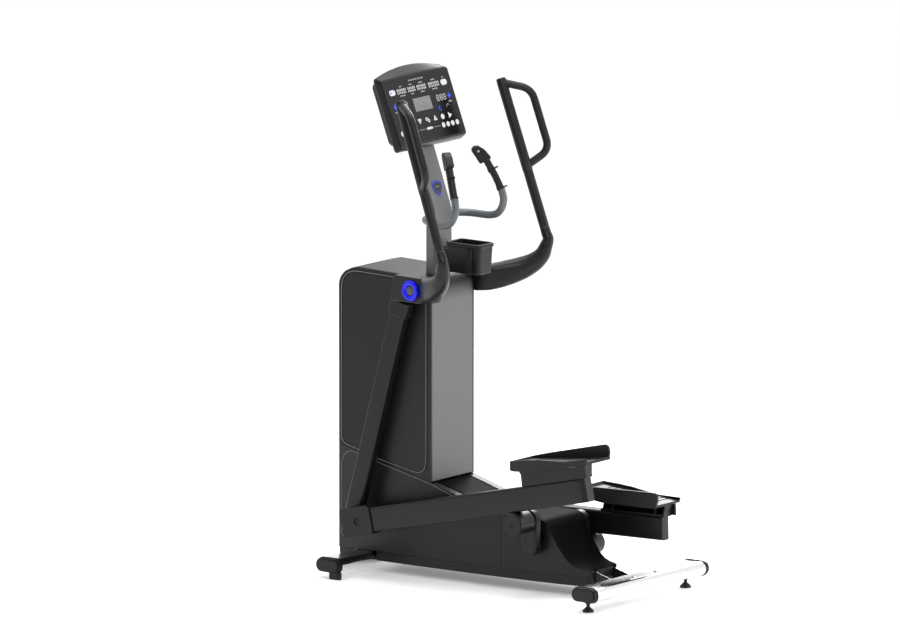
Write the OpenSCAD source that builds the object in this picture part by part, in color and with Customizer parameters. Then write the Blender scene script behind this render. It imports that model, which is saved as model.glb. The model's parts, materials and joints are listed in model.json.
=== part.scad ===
// Elliptical trainer, millimetres. +Z up, +Y is the front (console side), +X is the user's right.
// The origin is on the floor, at the centre of the machine's footprint.

/* [Motion geometry] */
// Swing arm pivot, fore-aft
pivot_y = 250; // [200:1:320]
// Swing arm pivot, height
pivot_z = 985; // [900:1:1050]
// Lower joint between swing arm and pedal arm, fore-aft
knee_y = 444; // [400:1:500]
// Lower joint between swing arm and pedal arm, height
knee_z = 187; // [150:1:240]
// Crank shaft, fore-aft
crank_y = -202; // [-260:1:-150]
// Crank shaft, height
crank_z = 187; // [150:1:240]
// Crank throw
crank_throw = 64; // [50:1:90]
// Rise of the left pedal arm towards the rear, degrees
left_tilt = 12.56; // [8:0.01:16]
// Rise of the right pedal arm towards the rear, degrees
right_tilt = 1.24; // [0:0.01:4]

/* [Body] */
// Half width of the tower
tower_hw = 120; // [100:1:140]
// Rear face of the tower
tower_rear = 221; // [200:1:240]
// Front face of the tower
tower_front = 608; // [560:1:640]
// Top of the tower
tower_top = 1025; // [980:1:1060]
// Wall thickness of the plastic covers
skin = 4; // [2.5:0.5:6]
// Underside of the body
body_bottom = 38; // [25:1:60]
// Height of the rim seam
rim_z = 70; // [50:1:90]

/* [Stabilizers] */
// Half length of the front and rear stabilizer tubes
stab_hl = 305; // [280:1:340]
// Rear stabilizer, fore-aft
rear_stab_y = -558; // [-600:1:-500]
// Rear stabilizer, height of its centre
rear_stab_z = 64; // [50:1:80]
// Front stabilizer, fore-aft
front_stab_y = 502; // [450:1:540]
// Front stabilizer, height of its centre
front_stab_z = 45; // [35:1:60]

/* [Pedal arms] */
// Height of the pedal arm beam
beam_h = 80; // [60:1:100]
// Inner face of the beam from the centre plane
beam_in = 178; // [170:1:190]
// Outer face of the beam from the centre plane
beam_out = 230; // [210:1:240]
// Radius of the roller under the beam
roller_r = 38; // [30:0.5:45]

/* [Console] */
// Half width of the console
console_hw = 200; // [180:1:220]
// Backward tilt of the console face, degrees
console_tilt = 21; // [15:1:30]

/* [Hidden] */
$fn = 48;

// ---------- helpers ----------
function unit(v) = v / norm(v);
function tang(p, i) = i == 0 ? unit(p[1] - p[0]) : i == len(p) - 1 ? unit(p[i] - p[i - 1]) : unit(unit(p[i + 1] - p[i]) + unit(p[i] - p[i - 1]));
function sgnpow(v, e) = sign(v) * pow(abs(v), e);
function catmull(a, b, c, d, t) = 0.5 * ((2 * b) + (c - a) * t + (2 * a - 5 * b + 4 * c - d) * t * t + (3 * b - a - 3 * c + d) * t * t * t);
function spline(p, n) = concat([for (i = [0:len(p) - 2]) for (k = [0:n - 1]) catmull(p[max(i - 1, 0)], p[i], p[i + 1], p[min(i + 2, len(p) - 1)], k / n)], [p[len(p) - 1]]);

// A tube of changing section along a list of points; s gives [in-plane radius, side radius, squareness] at each point
module sweep(p, s, ref = [1, 0, 0], n = 24) {
  m = len(p);
  pts = [for (i = [0:m - 1]) let (t = tang(p, i), u = unit(cross(ref, t)), v = cross(t, u)) for (j = [0:n - 1]) let (a = 360 * j / n) p[i] + s[i][0] * sgnpow(cos(a), s[i][2]) * u + s[i][1] * sgnpow(sin(a), s[i][2]) * v];
  ends = [p[0], p[m - 1]];
  faces = concat(
    [for (j = [0:n - 1]) [m * n, j, (j + 1) % n]],
    [for (i = [0:m - 2], j = [0:n - 1]) [i * n + j, (i + 1) * n + j, i * n + (j + 1) % n]],
    [for (i = [0:m - 2], j = [0:n - 1]) [(i + 1) * n + j, (i + 1) * n + (j + 1) % n, i * n + (j + 1) % n]],
    [for (j = [0:n - 1]) [m * n + 1, (m - 1) * n + (j + 1) % n, (m - 1) * n + j]]);
  polyhedron(concat(pts, ends), faces);
}
module tube_path(p, r, ref = [1, 0, 0], n = 24) sweep(p, [for (q = p) [r, r, 1]], ref, n);
// Extrude a side profile (Y, Z) between two X positions
module yz(x0, x1) translate([x0, 0, 0]) rotate([90, 0, 90]) linear_extrude(height = x1 - x0) children();
// Cylinder along X
module cx(x0, x1, y, z, r) translate([x0, y, z]) rotate([0, 90, 0]) cylinder(h = x1 - x0, r = r);
module box(a, b) translate(a) cube(b - a);
// Rounded rectangle with true arcs, centred
module rrect(w, h, r) {
  square([w - 2 * r, h], center = true);
  square([w, h - 2 * r], center = true);
  for (i = [-1, 1], j = [-1, 1]) translate([i * (w / 2 - r), j * (h / 2 - r)]) circle(r);
}
module rbox2(y0, z0, y1, z1, r) translate([(y0 + y1) / 2, (z0 + z1) / 2]) rrect(y1 - y0, z1 - z0, r);
// Mirror a left-hand part to the right when side = 1
module sided(side) if (side < 0) children(); else mirror([1, 0, 0]) children();

dark = [0.11, 0.11, 0.115];
gloss = [0.05, 0.05, 0.055];
grey = [0.42, 0.43, 0.45];
silver = [0.85, 0.86, 0.88];
steel = [0.6, 0.6, 0.62];
blue = [0.08, 0.08, 0.9];

// ---------- frame ----------
module base_frame() color(dark) {
  difference() {
    union() {
      box([-30, -305, 76], [30, 560, 126]);
      box([-75, 235, 76], [75, 262, 126]);
      box([-75, 495, 76], [75, 545, 126]);
    }
    box([-26, -304, 80], [26, 559, 122]);
  }
  // feet plates to the front bar
  for (s = [-1, 1]) box([s * 60 - 12, 470, front_stab_z + 23], [s * 60 + 12, 530, 76]);
  // crank bearing plates
  difference() {
    for (s = [-1, 1]) box([s * 45 - 6, crank_y - 40, 126], [s * 45 + 6, crank_y + 40, 228]);
    cx(-60, 60, crank_y, crank_z, 15.05);
  }
  for (s = [-1, 1]) box([s * 40 - 11, crank_y - 30, 110], [s * 40 + 11, crank_y + 30, 126]);
  // plates to the rear bar
  for (s = [-1, 1]) {
    yz(s * 52 - 4, s * 52 + 4) polygon([[-285, 78], [-285, 120], [-306, 120], [-335, 88], [-418, 86], [-500, 63], [-509, 60], [-509, 50], [-430, 50], [-398, 60], [-380, 78]]);
    box([min(s * 29, s * 49), -300, 84], [max(s * 29, s * 49), -288, 116]);
  }
}
module tower_frame() color(dark) difference() {
  union() {
    for (s = [-1, 1]) {
      box([s * 60 - 12, 237, 126], [s * 60 + 12, 262, 952]);
      box([s * 60 - 12, 500, 126], [s * 60 + 12, 540, 960]);
      box([s * 60 - 12, 262, 905], [s * 60 + 12, 500, 950]);
    }
    box([-48, 240, 930], [48, 290, 952]);
    // pivot bearing blocks
    for (s = [-1, 1]) {
      box([s * 75 - 15, 238, 952], [s * 75 + 15, 290, 1000]);
      cx(s < 0 ? -119 : 90, s < 0 ? -90 : 119, pivot_y, pivot_z, 17.5);
    }
    // mast spigot
    box([-40, 262, 952], [40, 291, 1018]);
    box([-60, 240, 952], [60, 292, 960]);
    box([-48, 500, 200], [-39, 540, 230]);
    box([39, 500, 200], [48, 540, 230]);
    for (s = [-1, 1]) box([s * 45 - 6, 316, 190], [s * 45 + 6, 500, 238]);
    for (s = [-1, 1]) box([s * 45 - 6, 395, 526], [s * 45 + 6, 500, 566]);
  }
  cx(-120, 120, pivot_y, pivot_z, 15.05);
  cx(-60, 60, 334, 214, 10.05);
  cx(-60, 60, 420, 546, 10.05);
}

// ---------- stabilizers ----------
module oval_tube(y, z, w, h) difference() {
  translate([-stab_hl, y, z]) rotate([90, 0, 90]) linear_extrude(height = 2 * stab_hl) rrect(w, h, h / 2 - 0.5);
  translate([-stab_hl - 1, y, z]) rotate([90, 0, 90]) linear_extrude(height = 2 * stab_hl + 2) rrect(w - 6, h - 6, h / 2 - 3.5);
}
module front_stabilizer() color(silver) oval_tube(front_stab_y, front_stab_z, 98, 46);
module rear_stabilizer() color(silver) difference() {
  union() {
    oval_tube(rear_stab_y, rear_stab_z, 98, 46);
    for (s = [-1, 1]) translate([s * 273, rear_stab_y + 15, rear_stab_z - 23.2]) cylinder(h = 3, r = 14);
    box([-95, rear_stab_y - 30, rear_stab_z + 22.5], [95, rear_stab_y - 4, rear_stab_z + 25]);
    for (x = [-62, 62]) translate([x, rear_stab_y - 17, rear_stab_z + 25]) cylinder(h = 4, r = 7);
  }
  for (s = [-1, 1]) translate([s * 273, rear_stab_y + 15, rear_stab_z - 30]) cylinder(h = 14, r = 6.05);
}
module cap(x0, x1, y, z, w, h) difference() {
  union() {
    translate([x0, y, z]) rotate([90, 0, 90]) linear_extrude(height = (x1 - x0) * 0.62) rrect(w, h, h / 2 - 1);
    translate([x0 + (x1 - x0) * 0.62, y, z]) rotate([90, 0, 90]) linear_extrude(height = (x1 - x0) * 0.25) rrect(w - 6, h - 6, h / 2 - 4);
    translate([x0 + (x1 - x0) * 0.87, y, z]) rotate([90, 0, 90]) linear_extrude(height = (x1 - x0) * 0.13) rrect(w - 16, h - 16, h / 2 - 9);
  }
  translate([x0 - 1, y, z]) rotate([90, 0, 90]) linear_extrude(height = 24) rrect(w - 4, h - 4, h / 2 - 3);
}
module stabilizer_caps() color(gloss) for (s = [-1, 1]) mirror([s < 0 ? 1 : 0, 0, 0]) {
  difference() {
    cap(282, 325, rear_stab_y, rear_stab_z, 104, 52);
    box([270, rear_stab_y - 60, 20], [305, rear_stab_y + 60, rear_stab_z + 40]);
  }
  difference() {
    union() {
      cap(282, 325, front_stab_y, front_stab_z, 104, 52);
      translate([0, 0, 0]) box([306, front_stab_y - 48, 0], [320, front_stab_y - 6, 24]);
      box([306, front_stab_y - 40, 0], [322, front_stab_y - 10, 24]);
    }
    box([270, front_stab_y - 60, 10], [305, front_stab_y + 60, front_stab_z + 40]);
  }
}
module levelling_feet() color(gloss) for (s = [-1, 1]) translate([s * 273, rear_stab_y + 15, 0]) {
  cylinder(h = 7, r = 19);
  translate([0, 0, 7]) cylinder(h = 9, r1 = 17, r2 = 8);
  translate([0, 0, 16]) cylinder(h = 33, r = 6);
  translate([0, 0, 27]) cylinder(h = 7, r = 10, $fn = 6);
}

// ---------- body covers ----------
// Plan outline of the body, half width against Y
module plan(d = 0) polygon([[-(tower_hw - 7 - d), tower_front - d], [-(tower_hw - 2 - d), tower_front - 2 - d], [-(tower_hw - d), tower_front - 7 - d], [-(tower_hw - d), tower_rear], [-(117 - d), 60], [-(112 - d), -65], [-(106 - d), -202], [-(98 - d), -300], [-(84 - d), -385], [-(76 - d), -404 + d], [-(62 - d), -413 + d], [62 - d, -413 + d], [76 - d, -404 + d], [84 - d, -385], [98 - d, -300], [106 - d, -202], [112 - d, -65], [117 - d, 60], [tower_hw - d, tower_rear], [tower_hw - d, tower_front - 7 - d], [tower_hw - 2 - d, tower_front - 2 - d], [tower_hw - 7 - d, tower_front - d]]);
// Side outline of the low body (Y, Z), without the tower
module low_side(d = 0) polygon([[tower_front - d, rim_z - 1], [tower_front - d, 420 - d], [534, 402 - d], [tower_rear, 325 - d], [160, 309 - d], [90, 288 - d], [30, 268 - d], [-43, 255 - d], [-140, 252 - d], [-222, 251 - d], [-238 + d * 0.6, 243 - d], [-254 + d * 0.8, 220 - d * 0.7], [-271 + d * 0.9, 193 - d * 0.5], [-290 + d * 0.9, 162 - d * 0.5], [-309 + d * 0.8, 137 - d * 0.7], [-327 + d * 0.5, 117 - d], [-347, 104 - d], [-370, 97 - d], [-413 + d, 92 - d], [-413 + d, rim_z - 1]]);
module low_solid(d) intersection() {
  yz(-130, 130) low_side(d);
  linear_extrude(height = 440) plan(d);
}
module low_shell() difference() {
  low_solid(0);
  low_solid(skin);
}
module rim_pan() color(dark) difference() {
  intersection() {
    yz(-130, 130) polygon([[tower_front, rim_z - 2], [tower_front, 58], [tower_front - 6, 46], [tower_front - 18, 39], [tower_front - 30, body_bottom], [-400, body_bottom], [-411, 46], [-413, 56], [-413, rim_z - 2]]);
    linear_extrude(height = 440) plan(1.5);
  }
  intersection() {
    box([-125, -407, body_bottom + 4], [125, 603, 90]);
    linear_extrude(height = 440) plan(6);
  }
  box([-330, front_stab_y - 52, 0], [330, front_stab_y + 52, front_stab_z + 26]);
  box([-60, -420, 45], [-44, -396, 90]);
  box([44, -420, 45], [60, -396, 90]);
  box([-82, 560, 60], [-38, 620, 90]);
}
module lower_cover(side) color(dark) sided(side) difference() {
  intersection() {
    low_shell();
    box([-130, -64, rim_z - 1], [-0.5, 700, 440]);
  }
  // top between the sides belongs to the tower and the fairing
  box([-86, -70, 200], [5, 222, 460]);
  box([-116, 222, 200], [5, 602, 460]);
  box([-113, 560, 60], [-0.4, 620, 450]);
  yz(-88, -80) translate([0, 0]) polygon([[-65, 225], [225, 225], [225, 400], [-65, 400]]);
}
module left_lower_cover() lower_cover(-1);
module right_lower_cover() lower_cover(1);
module rear_shroud(side) color(dark) sided(side) difference() {
  intersection() {
    low_shell();
    box([-130, -420, rim_z - 1], [-0.5, -65, 440]);
  }
  cx(-130, -30, crank_y, crank_z, 30);
  cx(-130, -101, crank_y, crank_z, 50);
  box([-60, -420, 45], [-44, -396, 119]);
  box([-130, -280, 60], [-101.6, -278, 250]);
}
module left_rear_shroud() rear_shroud(-1);
module right_rear_shroud() rear_shroud(1);
module top_fairing() color(dark) intersection() {
  low_shell();
  box([-79.5, -64, 225], [79.5, tower_rear - 0.5, 460]);
}

// Upper part of the tower, side outline
module tower_side(d = 0) polygon([[tower_front - d, 421 + d], [534, 403 + d], [tower_rear + d, 326 + d], [tower_rear + d, 962], [tower_rear + 2.5 + d, 982], [tower_rear + 11 + d, 1001 - d * 0.5], [tower_rear + 25, 1013 - d], [tower_rear + 46, 1018.2 - d], [385, 1022 - d], [524, 1026 - d], [553 - d * 0.4, 1020 - d], [578 - d * 0.6, 1008 - d * 0.7], [595 - d * 0.8, 990 - d * 0.3], [605 - d, 968], [tower_front - d, 945]]);
module side_cover(side) color(dark) sided(side) difference() {
  union() {
    intersection() {
      union() {
        yz(-118, -114) tower_side(0.5);
        yz(-120, -118) offset(r = 2) offset(delta = -2.5) tower_side(0);
      }
      linear_extrude(height = 1100) plan(0);
    }
    // raised field
    yz(-122, -120) offset(r = 22) offset(delta = -42) tower_side(0);
  }
  cx(-130, -90, pivot_y, pivot_z, 22);
}
module left_side_cover() side_cover(-1);
module right_side_cover() side_cover(1);
module front_cover() color(dark) difference() {
  intersection() {
    yz(-112.5, 112.5) difference() {
      polygon([[tower_front, rim_z], [tower_front, 945], [605, 968], [595, 990], [578, 1008], [553, 1020], [524.2, 1026], [524.2, 1022], [551.5, 1016.2], [575, 1005], [591.5, 988], [601, 967], [tower_front - 4, 944], [tower_front - 4, rim_z]]);
      polygon([[0, 0], [1, 0], [0, 1]]);
    }
    linear_extrude(height = 1100) plan(0);
  }
    box([-60, 600, 84], [-30, 612, 116]);
}
module column_panel() color(grey) difference() {
  column_shape();
  box([-51, 258, 1000], [51, 275, 1040]);
}
module column_shape() {
  yz(-113, 113) polygon([[tower_rear, 330], [tower_rear, 962], [tower_rear + 2.5, 982], [tower_rear + 11, 1001], [tower_rear + 25, 1013], [tower_rear + 44, 1018], [tower_rear + 44, 1014], [tower_rear + 27, 1009.3], [tower_rear + 14, 998], [tower_rear + 6.3, 981], [tower_rear + 4, 962], [tower_rear + 4, 330]]);
  for (s = [-1, 1]) box([s * 96 - 2, tower_rear + 4, 340], [s * 96 + 2, tower_rear + 10, 940]);
}
module top_cover() color(dark) difference() {
  yz(-113, 113) polygon([[tower_rear + 46, 1018.2], [385, 1022], [522, 1026], [522, 1022], [385, 1018], [tower_rear + 46, 1014.2]]);
  box([-51, 258, 1000], [51, 297.5, 1040]);
}

// ---------- mast and console ----------
module mast_profile(g = 0) polygon([[259 - g, 1012], [259 - g, 1232], [369.5 - g, 1536 + g], [409 + g, 1522 + g], [296 + g, 1211], [296 + g, 1012]]);
module mast_bevelled() {
  yz(-50, 50) offset(delta = -4) mast_profile();
  yz(-46, 46) mast_profile();
}
module mast() color(grey) difference() {
  union() {
    yz(-46, 46) mast_profile();
    yz(-50, 50) offset(delta = -4) mast_profile();
  }
  box([-40.3, 261.5, 1000], [40.3, 291.4, 1040]);
  cx(-60, 60, 276, 1208, 14.4);
}
// Shield outline on the mast's rear face
module mast_badge() color(blue) translate([0, 284.1, 1301]) rotate([-20, 0, 0]) translate([0, -1.2, 0]) rotate([90, 0, 0]) difference() {
  union() {
    linear_extrude(height = 1.5) shield(26, 36);
    translate([0, 0, 1.5]) linear_extrude(height = 1) difference() { shield(26, 36); shield(23, 32); }
  }
}
module shield(w, h) polygon([for (i = [0:8]) let (t = i / 8) [-w * (1 - t * t * 0.15) * cos(t * 80), -h * t * 1.0 + h * 0.35], for (i = [8:-1:0]) let (t = i / 8) [w * (1 - t * t * 0.15) * cos(t * 80), -h * t * 1.0 + h * 0.35], [w * 0.8, h * 0.6], [0, h * 0.8], [-w * 0.8, h * 0.6]]);

// Console parts are drawn flat (X, up the face) and leaned into place
module lean() translate([0, 297.5, 1463]) rotate([90 - console_tilt, 0, 0]) children();
module console_outline(d = 0) offset(r = 14) offset(delta = -14 - d) polygon([[-186, -10], [186, -10], [184, 120], [183, 243], [120, 258], [40, 266], [-40, 266], [-120, 258], [-183, 243], [-184, 120]]);
module console_housing() color(dark) difference() {
  lean() {
    translate([0, 0, -30]) linear_extrude(height = 24) console_outline(0);
    translate([0, 0, -6]) linear_extrude(height = 6) difference() { console_outline(3); console_outline(12); }
  }
  lean() translate([0, 0, -26]) linear_extrude(height = 16) console_outline(6);
  lean() translate([0, 0, -31]) linear_extrude(height = 8) console_outline(26);
  yz(-50.5, 50.5) mast_profile(0.5);
}
module console_back() color(dark) difference() {
  lean() {
    translate([0, 0, -60]) linear_extrude(height = 30) console_outline(14);
  }
  lean() translate([0, 0, -57]) linear_extrude(height = 28) console_outline(18);
  yz(-50.5, 50.5) mast_profile(0.5);
}
module console_panel() color(gloss) difference() {
  lean() translate([0, 0, -6]) linear_extrude(height = 3.5) console_outline(12.2);
  lean() translate([-49.2, 103.4, -5]) cube([92.4, 46, 6]);
}
module lcd_window() color([0.55, 0.6, 0.62]) lean() translate([-49, 103.6, -5]) cube([92, 45.6, 2]);
// Keys and lamps stand 1 mm proud of the panel
module console_keys() color([0.8, 0.8, 0.8]) lean() translate([0, 0, -2.5]) {
  for (k = [-2.5:1:2.5]) for (b = [0:3]) translate([k * 38 + b * 6 - 11.5, 176, 0]) cube([4, 14 + (b % 2) * 3, 0.8]);
  for (s = [-1, 1]) {
    translate([s * 148, 188, 0]) linear_extrude(height = 1.2) rrect(34, 14, 6.9);
    for (k = [0:3]) translate([s * (75 + k * 25), 41, 0]) cylinder(h = 1.2, r = 6.5);
    translate([s * 112, 138, 0]) linear_extrude(height = 0.8) rrect(46, 22, 3);
  }
  for (k = [-2:2]) translate([k * 30, 66, 0]) linear_extrude(height = 1.2) rrect(15, 11, 3);
  for (k = [-1, 1]) translate([k * 40, 38, 0]) linear_extrude(height = 0.8) rrect(34, 3, 1.4);
}

// ---------- fixed handlebar ----------
bar_half = [[0, 276, 1208], [30, 276, 1208], [55, 276, 1208], [76, 273, 1208], [98, 259, 1208], [116, 232, 1207], [126, 200, 1205], [131, 165, 1204.5], [134, 136, 1212], [135, 117, 1233], [134, 108.5, 1262], [131.5, 112, 1285], [130, 116.5, 1300]];
bar_path = spline(concat([for (i = [len(bar_half) - 1:-1:1]) [-bar_half[i][0], bar_half[i][1], bar_half[i][2]]], bar_half), 3);
module fixed_handlebar() color(grey) tube_path(bar_path, 13, [0.0001, 0.55, 0.83], 20);
grip_path = spline([[129.8, 117.3, 1302], [120, 134, 1340], [107, 153, 1382], [92, 172, 1424], [85, 180, 1439]], 4);
module pulse_grips() color(gloss) for (s = [-1, 1]) mirror([s < 0 ? 1 : 0, 0, 0]) difference() {
  union() {
    sweep(grip_path, [for (i = [0:len(grip_path) - 1]) [13.5 + (i > 12 ? 5 : 0), 14 + (i > 12 ? 5 : 0), 0.9]], [1, 0, 0], 24);
  }
  translate([85, 180, 1439]) rotate([-35, -20, 0]) translate([0, 0, -3.2]) cylinder(h = 8, r = 7.5);
}
module pulse_sensors() color(silver) for (s = [-1, 1]) mirror([s < 0 ? 1 : 0, 0, 0]) difference() {
  union() {
    sweep([for (i = [3:6]) grip_path[i]], [for (i = [3:6]) [15, 15.5, 0.9]], [1, 0, 0], 24);
    sweep([for (i = [8:11]) grip_path[i]], [for (i = [8:11]) [15, 15.5, 0.9]], [1, 0, 0], 24);
  }
  sweep(grip_path, [for (i = [0:len(grip_path) - 1]) [13.7 + (i > 12 ? 5 : 0), 14.2 + (i > 12 ? 5 : 0), 0.9]], [1, 0, 0], 24);
}
module thumb_button() color([0.7, 0.1, 0.1]) translate([85, 180, 1439]) rotate([-35, -20, 0]) translate([0, 0, -0.6]) cylinder(h = 4.6, r = 7);
module thumb_button_right() thumb_button();
module thumb_button_left() mirror([1, 0, 0]) thumb_button();

// ---------- cup holder ----------
module cup_slab(z, h, hw, y0, y1, r) translate([0, (y0 + y1) / 2, z]) linear_extrude(height = h) rrect(2 * hw, y1 - y0, r);
module cup_holder() color(dark) difference() {
  union() {
    hull() {
      cup_slab(1030, 3, 37.5, 84, 213, 14);
      cup_slab(1118, 3, 43, 79, 218, 16);
    }
    cup_slab(1120, 13, 46, 76, 221, 17);
    box([-30, 200, 1050], [30, 258.6, 1105]);
  }
  hull() {
    cup_slab(1036, 3, 33, 89, 208, 11);
    cup_slab(1132, 3, 37, 86, 211, 12);
  }
}

// ---------- drive train ----------
module pivot_axle() color(steel) cx(-196, 196, pivot_y, pivot_z, 15);
module crank_axle() color(steel) difference() { cx(-123.5, 123.5, crank_y, crank_z, 15); }
module crank_arm(side, dir) color(gloss) sided(side) difference() {
  union() {
    yz(-149, -127) crank_shape(dir, 37);
    yz(-152, -124) crank_shape(dir, 34);
  }
  cx(-160, -151, crank_y, crank_z - dir * 0, 12);
  yz(-153, -150.5) difference() { crank_shape(dir, 31); crank_shape(dir, 27); }
  cx(-132, -123, crank_y, crank_z, 15.05);
}
module crank_shape(dir, r) {
  translate([crank_y, crank_z + dir * crank_throw]) circle(r);
  translate([crank_y, crank_z - dir * 21]) circle(r);
  translate([crank_y - r, dir > 0 ? crank_z - 21 : crank_z - crank_throw]) square([2 * r, crank_throw + 21]);
}
module left_crank_arm() crank_arm(-1, 1);
module right_crank_arm() crank_arm(1, -1);
module crank_pulley() color(steel) difference() {
  union() {
    cx(-12, 12, crank_y, crank_z, 40);
    cx(-15, -12, crank_y, crank_z, 44);
    cx(12, 15, crank_y, crank_z, 44);
    cx(-30, 30, crank_y, crank_z, 24);
  }
  cx(-40, 40, crank_y, crank_z, 15);
}
// Belt round the crank pulley and the equal front pulley
jack_y = 334;
jack_z = 214;
module drive_belt() color(gloss) yz(-11, 11) difference() {
  belt_loop(42.5);
  belt_loop(40.4);
}
module belt_loop(r) hull() {
  translate([crank_y, crank_z]) circle(r, $fn = 64);
  translate([jack_y, jack_z]) circle(r, $fn = 64);
}
module jackshaft() color(steel) {
  cx(-75, 75, jack_y, jack_z, 10);
  difference() {
    union() {
      cx(-12, 12, jack_y, jack_z, 40);
      cx(-15, -12, jack_y, jack_z, 44);
      cx(12, 15, jack_y, jack_z, 44);
      cx(15, 30, jack_y, jack_z, 88);
    }
    cx(20, 31, jack_y, jack_z, 74);
  }
  cx(15, 34, jack_y, jack_z, 20);
}
module flywheel() color(steel) {
  cx(-60, 60, 420, 546, 10);
  difference() {
    cx(-22, 14, 420, 546, 92);
    cx(-23, -10, 420, 546, 70);
    cx(4, 15, 420, 546, 70);
  }
  cx(17, 30, 420, 546, 14);
  cx(-30, 30, 420, 546, 13);
}
module brake_unit() color(dark) difference() {
  union() {
    box([-26, 516, 470], [18, 528, 600]);
    box([-48, 528, 520], [48, 540, 560]);
  }
  cx(-24, 16, 420, 546, 104);
}
module power_inlet() color(gloss) difference() {
  box([-59.5, 590, 84.5], [-30.5, 610, 115.5]);
  box([-56, 603, 92], [-34, 612, 108]);
}

// ---------- swing arms ----------
// All left; the right is a mirror
lean_dir = atan2(183, 680);
module lower_tube() translate([-156, 329, 880]) rotate([lean_dir, 0, 0]) translate([0, 0, -707]) difference() {
  linear_extrude(height = 707 + 16) rrect(38, 62, 9);
  translate([0, 0, 4]) linear_extrude(height = 707 + 20) rrect(33, 57, 6.5);
}
module swing_arm(side) color(dark) sided(side) {
  difference() {
    union() {
      lower_tube();
      // sleeve under the hub
      translate([-156, 329, 880]) rotate([lean_dir, 0, 0]) translate([0, 0, 6]) linear_extrude(height = 52) rrect(45, 74, 11);
      // pivot ear at the foot
      yz(-172, -140) { translate([knee_y, knee_z]) circle(28); polygon([[knee_y, knee_z - 28], [512, 172], [520, 196], [500, 240], [knee_y + 18, knee_z + 24]]); }
      // hub block
      yz(-193, -126) polygon([[207, 943], [334, 938], [342, 940], [346, 947], [330, 1022], [326, 1028], [207, 1029]]);
      cx(-193, -123, pivot_y, pivot_z, 30);
    }
    cx(-215, -100, pivot_y, pivot_z, 15.06);
    cx(-180, -130, knee_y, knee_z, 12.05);
  }
}
module left_swing_arm() swing_arm(-1);
module right_swing_arm() swing_arm(1);
// Casting that sweeps from the hub out and back, then up into the handle tube
// Point on the straight handle tube at a given height
function main_at(z) = [-293 + (z - 1145) * 0.0242, 54 + (z - 1145) * 0.3556, z];
cast_pts = [[-159.5, 207, 986], [-172, 190, 988], [-190, 170, 992], [-217, 144, 1001], [-243, 113, 1014], [-264, 80, 1034], [-279, 57, 1059], [-286, 47, 1086], main_at(1118), main_at(1134)];
cast_path = spline(cast_pts, 3);
function cast_size(k) = let (m = len(cast_path) - 1, t = k / m) [42.5 - 26 * pow(t, 1.5), 33.5 - 17 * pow(t, 1.7), 0.5 + 0.5 * t];
function mix(a, b, t) = a + (b - a) * t;
// A path with its corners rounded by r
function rounded(p, r, n = 5) = concat([p[0]], [for (i = [1:len(p) - 2]) let (a = p[i] + r * unit(p[i - 1] - p[i]), b = p[i] + r * unit(p[i + 1] - p[i])) for (k = [0:n]) let (t = k / n) mix(mix(a, p[i], t), mix(p[i], b, t), t)], [p[len(p) - 1]]);
loop_off = [-56, -73, 0];
loop_path = rounded([main_at(1626), main_at(1605) + loop_off, main_at(1405) + loop_off, main_at(1352)], 38);
module handle(side) color(dark) sided(side) {
  difference() {
    sweep(cast_path, [for (i = [0:len(cast_path) - 1]) cast_size(i)], [1, 0, 0.0001], 28);
    box([-230, 206.95, 900], [-100, 300, 1060]);
  }
}
module left_handle() handle(-1);
module right_handle() handle(1);
module grip(side) color(gloss) sided(side) {
  sweep([main_at(1137), main_at(1337), main_at(1337.5), main_at(1632), main_at(1637), main_at(1640)], [[16, 16, 1], [16, 16, 1], [17, 17, 1], [17, 17, 1], [15, 15, 1], [10, 10, 1]], [1, 0, 0], 24);
  tube_path(loop_path, 13, [1, -0.77, 0.3], 18);
}
module left_grip() grip(-1);
module right_grip() grip(1);
module pivot_ring(side) color(blue) sided(side) difference() {
  union() { cx(-200, -193, pivot_y, pivot_z, 35); cx(-204, -200, pivot_y, pivot_z, 32); }
  cx(-220, -190, pivot_y, pivot_z, 16);
}
module left_pivot_ring() pivot_ring(-1);
module right_pivot_ring() pivot_ring(1);
// ---------- pedal arms ----------
module knee_pin(side) color(steel) sided(side) {
  cx(-232, -139, knee_y, knee_z, 12);
  cx(-139, -135, knee_y, knee_z, 20);
}
module left_knee_pin() knee_pin(-1);
module right_knee_pin() knee_pin(1);
// Pedal arm parts are drawn level with the joint at the origin, rear towards -Y
module tilt(a) translate([0, knee_y, knee_z]) rotate([-a, 0, 0]) children();
module beam_body() difference() {
  translate([-(beam_in + beam_out) / 2, 0, 0]) rotate([90, 0, 0]) translate([0, 0, 58]) linear_extrude(height = 872) rrect(beam_out - beam_in, beam_h, 7);
  translate([-(beam_in + beam_out) / 2, 0, 0]) rotate([90, 0, 0]) translate([0, 0, 60]) linear_extrude(height = 900) rrect(beam_out - beam_in - 6, beam_h - 6, 4.5);
}
module beam(side, a) color(dark) tilt(a) sided(side) {
  beam_body();
  difference() {
    union() {
      box([-222, -59, -32], [-186, -20, 32]);
      cx(-224, -184, 0, 0, 32);
    }
    cx(-230, -170, 0, 0, 12.05);
  }
  // wear strip under the beam
  box([-212, -900, -41.5], [-196, -365, -40]);
}
module left_beam() beam(-1, left_tilt);
module right_beam() beam(1, right_tilt);
module beam_caps(side, a) color(gloss) tilt(a) sided(side) {
  difference() {
    yz(-235, -178) rbox2(-57.5, -49, 66, 49, 14);
    yz(-224.5, -176) rbox2(-58.5, -41, 42, 41, 8);
    cx(-240, -224, 0, 0, 13);
  }
  // rounded rear plug
  intersection() {
    translate([-204, -930, 0]) rotate([90, 0, 0]) linear_extrude(height = 30) rrect(52, 80, 7);
    translate([-204, -920, -60]) linear_extrude(height = 120) hull() {
      translate([-4, -18]) circle(22);
      translate([23, -37]) circle(3);
      translate([-26, 0]) square([52, 40]);
    }
  }
}
module left_beam_caps() beam_caps(-1, left_tilt);
module right_beam_caps() beam_caps(1, right_tilt);
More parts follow.
